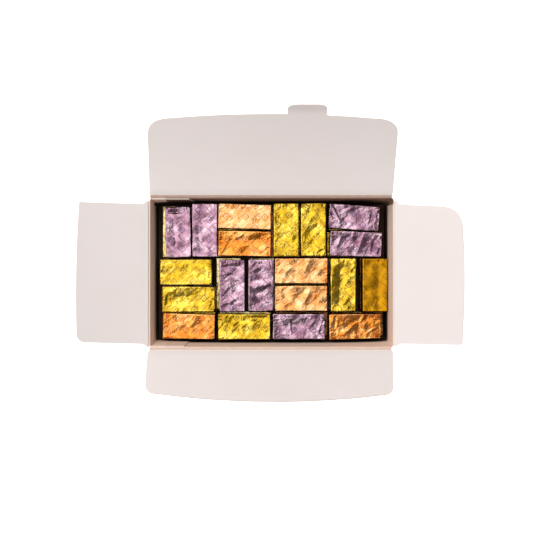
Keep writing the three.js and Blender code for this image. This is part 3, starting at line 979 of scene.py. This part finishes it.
# Swells, ripples and swayed folds: how high they are and over what length.
SWELL, RIPPLE, SWAY, SIDE_DENTS = (0.6, 9), (0.14, 2.8), (0.7, 4), (0.22, 5)
SAG_DEPTH = 1.9
CHANCE_FOLDS = 5
GATHER_REACH = 5
GATHER_SPANS = (4, 1.5, 2.5)
GATHER_RISE, GATHER_SINK = 1.6, 0.4
# The relief of the top fades out over this depth, and the foil stays within these bounds
# of the plain bar; the last one adds on top of it.
TOP_DEPTH = 3
SIDE_SINK, MOST_IN, MOST_OUT, MORE_ON_TOP = 0.05, 1.1, 0.14, 0.42


class Wrapper:
    """How far one bar's foil stands off the plain bar at a point, in millimetres."""

    def __init__(self, seed, half, turn, lean, sag, unrest, gather, folds):
        self.half, self.sag, self.unrest, self.gather = half, sag, unrest, gather
        downhill = Vector((1, -1)).normalized()
        downhill.rotate(Matrix.Rotation(math.radians(-turn), 2))
        self.slope = -math.tan(math.radians(lean)) * downhill
        self.place = Vector((seed * 7.31, seed * 3.17, 0))
        draw = random.Random(seed)
        folds = list(folds)
        for _ in range(CHANCE_FOLDS):
            folds.append((
                draw.uniform(-0.8, 0.8) * half.x, draw.uniform(-0.8, 0.8) * half.y,
                turn + draw.choice((45, -45, 90, 20)) + draw.uniform(-18, 18),
                draw.uniform(2, 6), draw.uniform(0.8, 2.0), draw.uniform(-0.16, 0.16),
            ))
        own = len(folds) - CHANCE_FOLDS
        self.folds = []
        for i, (x, y, direction, reach, width, height) in enumerate(folds):
            middle = Vector((x, y))
            if i < own:
                middle.rotate(Matrix.Rotation(math.radians(-turn), 2))
            angle = math.radians(direction - turn)
            line = Vector((math.cos(angle), math.sin(angle)))
            self.folds.append((middle, line, reach, width, height))

    def rumple(self, point, rise_and_span, strength=1, layer=1):
        """Smooth noise that is this bar's own."""
        rise, span = rise_and_span
        return strength * rise * noise.noise(point / span + self.place * layer)

    def relief(self, point):
        """Sag, swell and folds of the top."""
        u, v = point.x / self.half.x, point.y / self.half.y
        height = -SAG_DEPTH * self.sag * max(0, 1 - u ** 4) * max(0, 1 - v * v)
        height += self.slope.dot(point.xy)
        height += self.rumple(point, SWELL, self.unrest)
        height += self.rumple(point, RIPPLE, self.unrest, layer=2)
        sway = self.rumple(point, SWAY, layer=3)
        for middle, line, reach, width, rise in self.folds:
            offset = point.xy - middle
            along = abs(offset.dot(line)) / reach
            across = abs(offset.x * line.y - offset.y * line.x + sway) / width
            if along < 1 and across < 1:
                height += rise * (1 - across) ** 1.4 * (1 - along * along)
        return height

    def end_ripple(self, point):
        """Gathers that run in from the folded ends."""
        height = 0
        for end, strength in zip((-1, 1), self.gather):
            near = max(0, 1 - abs(self.half.x * end - point.x) / GATHER_REACH)
            if near > 0:
                place = Vector([point[k] / GATHER_SPANS[k] for k in range(3)]) + self.place
                gathers = abs(noise.noise(place)) * GATHER_RISE - GATHER_SINK
                height += strength * near * gathers
        return height

    def __call__(self, point):
        top = min(max((point.z - self.half.z + TOP_DEPTH) / TOP_DEPTH, 0), 1)
        sides = self.rumple(point, SIDE_DENTS) - SIDE_SINK
        relief = (self.relief(point) + self.end_ripple(point)) * top ** 2
        return min(max(sides + relief, -MOST_IN), MOST_OUT + MORE_ON_TOP * top ** 8)


def grade(t, half, cells):
    """Spaces the rows of a bar closely round its rounded edges."""
    rows = round((t + 1) / 2 * cells)
    near = min(rows, cells - rows)
    if near < EDGE_ROWS:
        angle = math.radians(45) * (EDGE_ROWS - near) / EDGE_ROWS
        distance = FOIL_EDGE * (1 - math.tan(angle))
    else:
        inner = half - FOIL_EDGE
        distance = FOIL_EDGE + (near - EDGE_ROWS) / (cells - 2 * EDGE_ROWS) * 2 * inner
    return math.copysign(half - distance, t)


def foil_bar(name, node, slot, seed, turn, lean, sag, unrest, gather, folds, cell):
    """A bar wrapped in foil, in the place and at the size of its node."""
    centre, half = bar_place(node, turn)
    bm = bmesh.new()
    bmesh.ops.create_cube(bm, size=2.0)
    counts = []
    for axis in range(3):
        along = [
            e for e in bm.edges
            if abs((e.verts[0].co - e.verts[1].co).normalized()[axis]) > 0.9
        ]
        counts.append(2 * EDGE_ROWS + round(2 * half[axis] / (cell if axis < 2 else 2 * cell)))
        bmesh.ops.subdivide_edges(bm, edges=along, cuts=counts[axis] - 1, use_grid_fill=True)
    for vert in bm.verts:
        vert.co = Vector([grade(vert.co[k], half[k], counts[k]) for k in range(3)])
    layer = bm.loops.layers.uv.new("UVMap")
    draw = random.Random(seed)
    shift = Vector((draw.uniform(0, 9), draw.uniform(0, 7)))
    for face in bm.faces:
        for loop in face.loops:
            loop[layer].uv = wrapper_place(face.normal, loop.vert.co, half) + shift
    wrapper = Wrapper(seed, half, turn, lean, sag, unrest, gather, folds)
    inner = half - Vector((FOIL_EDGE, FOIL_EDGE, FOIL_EDGE))
    rim = bm.verts.layers.float.new("rim")
    for vert in bm.verts:
        core = Vector([max(-inner[k], min(inner[k], vert.co[k])) for k in range(3)])
        out = (vert.co - core).normalized()
        most = sorted(abs(part) for part in out)
        vert[rim] = most[1] / most[2]
        vert.co = core + out * (FOIL_EDGE + wrapper(core + out * FOIL_EDGE))
    bm.transform(Matrix.Translation(centre) @ Matrix.Rotation(math.radians(turn), 4, "Z"))
    bmesh.ops.recalc_face_normals(bm, faces=bm.faces)
    piece = new_object(name, bm, [PEACH if node in PEACH_NODES else FOILS[slot]])
    shade_smooth(piece, 50)
    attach(piece, "carton")
    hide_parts(node)


def bar_place(node, turn):
    """Centre and half sizes of a turned bar, from its node's box, in millimetres."""
    low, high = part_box(node)
    size = (high - low) / MM
    centre = (high + low) / 2 / MM
    angle = math.radians(turn)
    c, s = abs(math.cos(angle)), abs(math.sin(angle))
    spread = c * c - s * s
    long_side = (size.x * c - size.y * s) / spread
    short_side = (size.y * c - size.x * s) / spread
    return centre, Vector((long_side / 2, short_side / 2, size.z / 2))


def wrapper_place(normal, place, half):
    """Where a point of the bar lies on its unrolled wrapper, in millimetres."""
    x, y = place.x, place.y
    drop = half.z - place.z
    if abs(normal.x) > 0.7:
        return Vector((x + math.copysign(drop, x), y))
    if abs(normal.y) > 0.7:
        return Vector((x, y + math.copysign(drop, y)))
    return Vector((x, y if normal.z > 0 else -y))


def make_pralines():
    """Wraps every bar of both layers."""
    slots = {row["node"]: row["material_slot"] for row in frame["record"]["subparts"]}
    for index, (turn, lean, sag, unrest, gather, folds) in enumerate(UPPER, 1):
        node = f"praline_upper_{index:02d}"
        name = f"foil_upper_{index:02d}"
        foil_bar(
            name, node, slots[node], index, turn, lean, sag, unrest, gather, folds,
            UPPER_CELL,
        )
    for index, turn in enumerate(LOWER_TURNS, 1):
        node = f"praline_lower_{index:02d}"
        name = f"foil_lower_{index:02d}"
        foil_bar(
            name, node, slots[node], 40 + index, turn, 0, 0.3, 0.8, (0.4, 0.4), [],
            LOWER_CELL,
        )


# The studio

def make_floor():
    """A plain pale floor, a hair below the carton, that glows a little."""
    material, _, shader, _ = new_material("studio_floor")
    shader.inputs["Base Color"].default_value = linear(246, 246, 246)
    shader.inputs["Roughness"].default_value = 0.9
    shader.inputs["Emission Color"].default_value = (1, 1, 1, 1)
    shader.inputs["Emission Strength"].default_value = 0.7
    bm = bmesh.new()
    bmesh.ops.create_grid(bm, x_segments=1, y_segments=1, size=3000)
    floor = new_object("studio_floor", bm, [material])
    floor.location.z = -0.0002


def area_light(name, place, sizes, power, colour):
    """A soft box that faces the origin. Places and sizes are metres, power is watts."""
    data = bpy.data.lights.new(name, "AREA")
    data.shape = "RECTANGLE"
    data.size, data.size_y = sizes
    data.energy = power
    data.color = colour
    lamp = bpy.data.objects.new(name, data)
    lamp.location = place
    lamp.rotation_mode = "QUATERNION"
    lamp.rotation_quaternion = (-Vector(place)).to_track_quat("-Z", "Y")
    bpy.context.scene.collection.objects.link(lamp)


def make_studio():
    """Soft light from above, to the left and back, and a dim pale surround."""
    make_floor()
    area_light("key", (-0.5, 0.35, 1.35), (2.5, 1.9), 34.5, (1.0, 0.997, 0.997))
    world = bpy.data.worlds.new("studio")
    world.use_nodes = True
    background = world.node_tree.nodes["Background"]
    background.inputs["Color"].default_value = (1.0, 0.99, 0.98, 1)
    background.inputs["Strength"].default_value = 0.2
    bpy.context.scene.world = world
    bpy.context.scene.view_settings.view_transform = "Standard"


CAMERA_OVER_RIM = 704.5
CAMERA_PLACE = (-0.96, 1.73, RIM_Z + CAMERA_OVER_RIM)
CAMERA_LENS = 73.33


def make_camera():
    """Looks straight down from high over the rim."""
    data = bpy.data.cameras.new("camera")
    data.lens = CAMERA_LENS
    data.sensor_width = 36
    data.clip_start = 0.01
    camera = bpy.data.objects.new("camera", data)
    camera.location = Vector(CAMERA_PLACE) * MM
    bpy.context.scene.collection.objects.link(camera)
    bpy.context.scene.camera = camera


FIRST_WAVE, NEXT_WAVE = 1.3, 3.7

make_tray()
for number, (side, flap) in enumerate(FLAPS.items()):
    make_flap(side, flap, NEXT_WAVE * number + FIRST_WAVE)
    make_crease(side, flap)
make_pralines()
make_studio()
make_camera()
